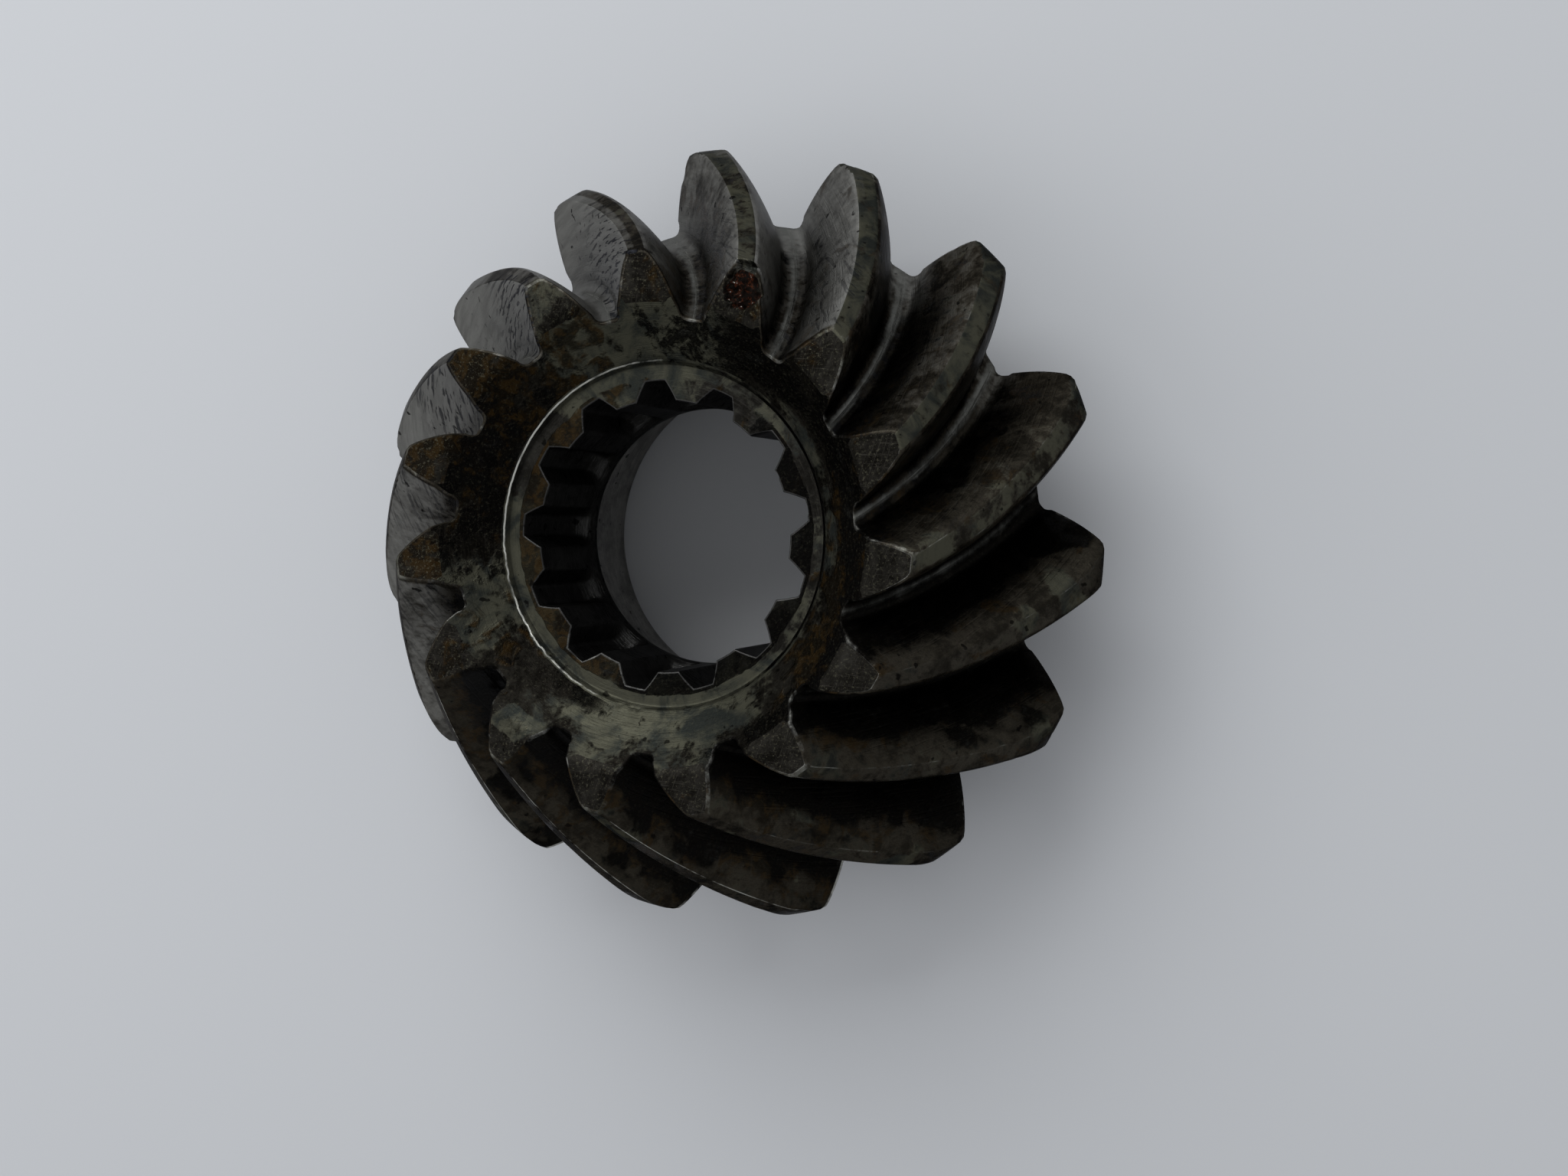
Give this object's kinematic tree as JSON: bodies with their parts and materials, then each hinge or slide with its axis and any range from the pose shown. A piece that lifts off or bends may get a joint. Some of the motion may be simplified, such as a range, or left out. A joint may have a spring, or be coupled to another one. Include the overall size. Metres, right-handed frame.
{
  "type": "spiral bevel pinion",
  "caption": "Spiral bevel pinion with curved, tapered teeth, a dished front with a nut seat, and an internally splined bore that carries it on a drive shaft.",
  "frame": {"origin": "centre of the bore, on the plane of the flat back face that the part rests on", "axes": "+Z along the bore from the back face to the nose, the small end of the teeth; +X through the middle of one tooth at its large end"},
  "size_m": [0.0643, 0.0646, 0.0271],
  "materials": {
    "gear_steel": "dark, oily, hardened steel with worn edges and brown oil and rust stains"
  },
  "bodies": {
    "root": {"bevel_pinion": "gear_steel"}
  },
  "joints": []
}
